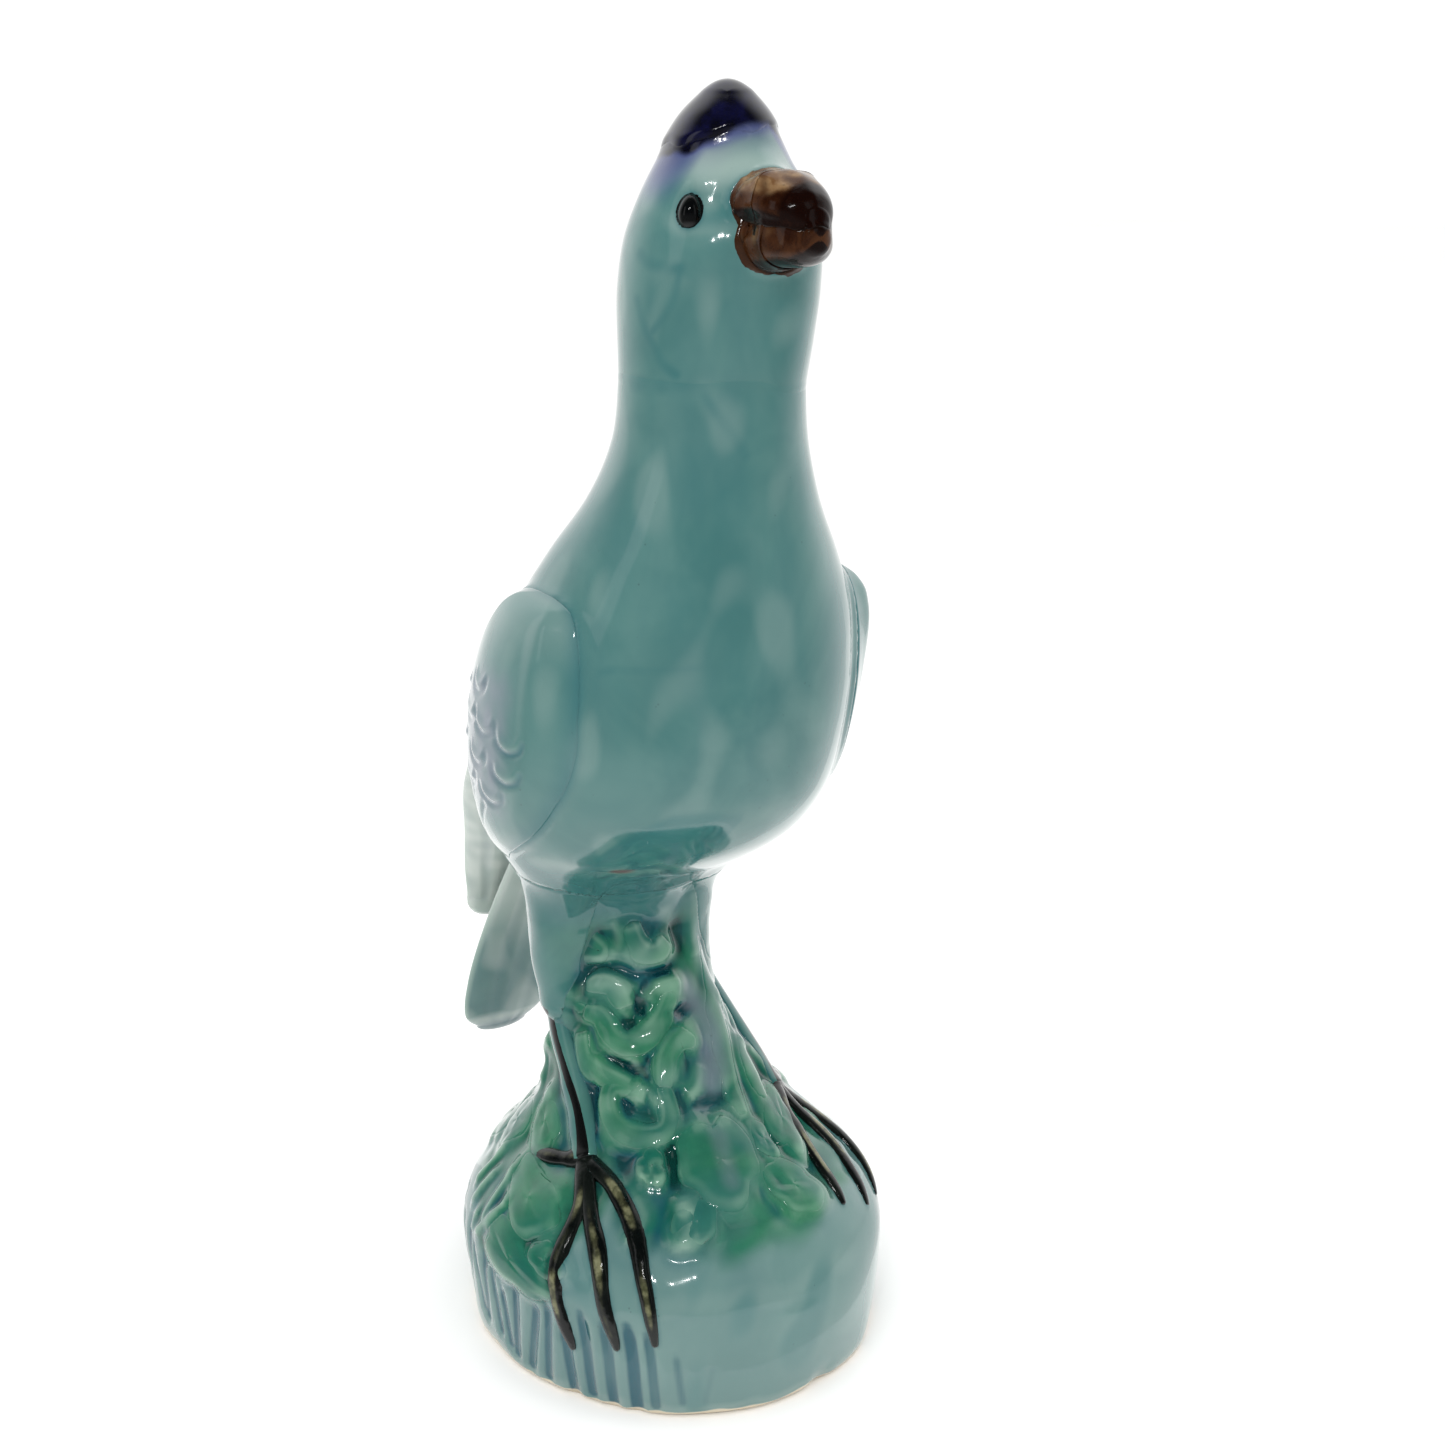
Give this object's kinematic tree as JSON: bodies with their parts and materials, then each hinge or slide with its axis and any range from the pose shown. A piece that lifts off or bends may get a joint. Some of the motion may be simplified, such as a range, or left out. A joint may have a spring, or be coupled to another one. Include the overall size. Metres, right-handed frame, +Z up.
{
  "type": "porcelain bird figurine",
  "caption": "Hollow glazed porcelain figurine of a standing bird with folded wings and a hanging tail on a rockwork pillar and domed base.",
  "frame": {"origin": "centre of the base's foot, on the plane it stands on", "axes": "+Z up along the figure, the bird faces -Y, its right side is -X"},
  "size_m": [0.0696, 0.1008, 0.2],
  "materials": {
    "turquoise_glaze": "glossy pale turquoise glaze, deeper where it pools, over white porcelain",
    "green_glaze": "glossy translucent green glaze pooling in the hollows of the relief",
    "cobalt_glaze": "glossy cobalt blue glaze fading to violet grey",
    "brown_glaze": "glossy amber and dark brown glaze",
    "black_glaze": "glossy black glaze, olive brown where thin",
    "bare_porcelain": "unglazed biscuit, matt"
  },
  "bodies": {
    "root": {"base_mound": "turquoise_glaze", "base_floor": "bare_porcelain", "rock_pillar": "turquoise_glaze", "rock_scrolls": "green_glaze", "rock_leaves": "green_glaze", "thigh_right": "turquoise_glaze", "thigh_left": "turquoise_glaze", "shank_right": "turquoise_glaze", "shank_left": "turquoise_glaze", "toes_right": "black_glaze", "toes_left": "black_glaze", "body_shell": "turquoise_glaze", "wing_right": "turquoise_glaze", "wing_left": "turquoise_glaze", "primaries_right": "turquoise_glaze", "primaries_left": "turquoise_glaze", "tail_coverts": "turquoise_glaze", "tail_feathers": "turquoise_glaze", "head_shell": "turquoise_glaze", "crest": "cobalt_glaze", "beak_upper": "brown_glaze", "beak_lower": "brown_glaze", "eye_right": "black_glaze", "eye_left": "black_glaze"}
  },
  "joints": []
}
